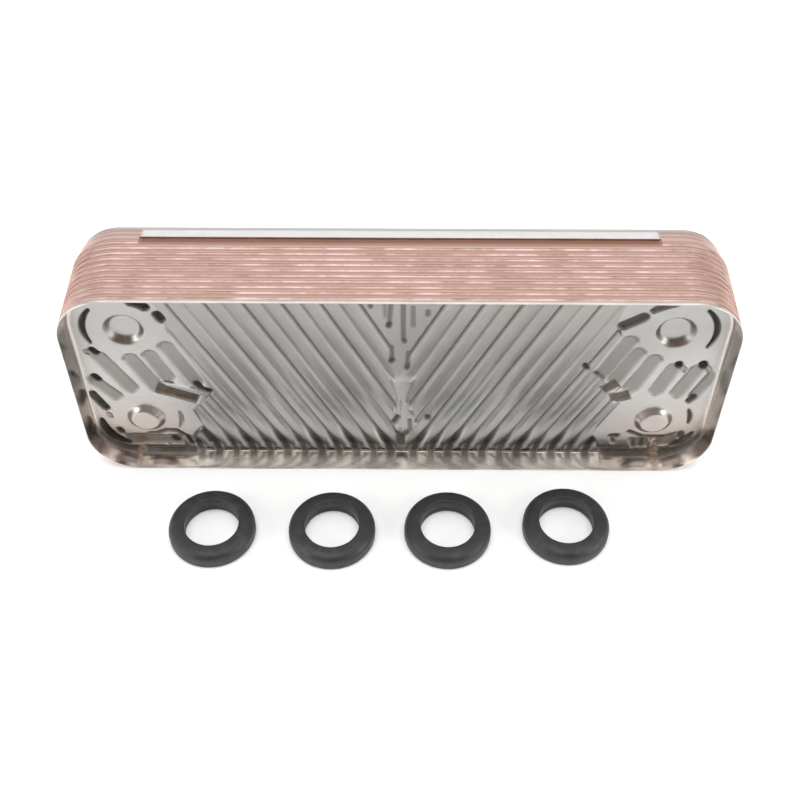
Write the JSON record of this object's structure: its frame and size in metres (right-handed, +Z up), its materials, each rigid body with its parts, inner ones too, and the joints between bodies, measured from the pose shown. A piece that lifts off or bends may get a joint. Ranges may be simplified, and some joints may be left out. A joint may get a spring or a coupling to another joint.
{
  "type": "plate heat exchanger",
  "caption": "Brazed plate heat exchanger: nested flared steel plates with pressed chevrons and copper seams, a ported cover plate with collars and fixing bushes, and loose rubber port seals.",
  "frame": {"origin": "centre of the pattern of four ports, on the plane that the ends of the two fixing bushes seat on", "axes": "+X along the length, +Z up as the exchanger stands on its long edge, +Y out of the port side; the plain front plate faces -Y"},
  "size_m": [0.2096, 0.0815, 0.0802],
  "materials": {
    "front_steel": "bright pressed stainless sheet with faint copper stains",
    "washed_steel": "stainless sheet washed with copper from the brazing furnace",
    "braze_copper": "matt copper braze fillet",
    "cover_steel": "plain furnace-bright stainless sheet",
    "collar_steel": "turned stainless steel",
    "seal_rubber": "matt black moulded rubber"
  },
  "bodies": {
    "exchanger": {"front_plate": "front_steel", "channel_plate_01": "washed_steel", "channel_plate_02": "washed_steel", "channel_plate_03": "washed_steel", "channel_plate_04": "washed_steel", "channel_plate_05": "washed_steel", "channel_plate_06": "washed_steel", "channel_plate_07": "washed_steel", "channel_plate_08": "washed_steel", "channel_plate_09": "washed_steel", "channel_plate_10": "washed_steel", "rear_plate": "washed_steel", "braze_seam_01": "braze_copper", "braze_seam_02": "braze_copper", "braze_seam_03": "braze_copper", "braze_seam_04": "braze_copper", "braze_seam_05": "braze_copper", "braze_seam_06": "braze_copper", "braze_seam_07": "braze_copper", "braze_seam_08": "braze_copper", "braze_seam_09": "braze_copper", "braze_seam_10": "braze_copper", "braze_seam_11": "braze_copper", "cover_plate": "cover_steel", "port_collar_upper_left": "collar_steel", "port_collar_upper_right": "collar_steel", "port_collar_lower_left": "collar_steel", "port_collar_lower_right": "collar_steel", "mounting_bushes": "collar_steel"},
    "seal_1": {"port_seal_1": "seal_rubber"},
    "seal_2": {"port_seal_2": "seal_rubber"},
    "seal_3": {"port_seal_3": "seal_rubber"},
    "seal_4": {"port_seal_4": "seal_rubber"}
  },
  "joints": [
    {"name": "seal_1_lift", "type": "slide", "parent": "exchanger", "child": "seal_1", "axis": [0, 0, 1], "range_m": [0, 0.04]},
    {"name": "seal_2_lift", "type": "slide", "parent": "exchanger", "child": "seal_2", "axis": [0, 0, 1], "range_m": [0, 0.04]},
    {"name": "seal_3_lift", "type": "slide", "parent": "exchanger", "child": "seal_3", "axis": [0, 0, 1], "range_m": [0, 0.04]},
    {"name": "seal_4_lift", "type": "slide", "parent": "exchanger", "child": "seal_4", "axis": [0, 0, 1], "range_m": [0, 0.04]}
  ]
}
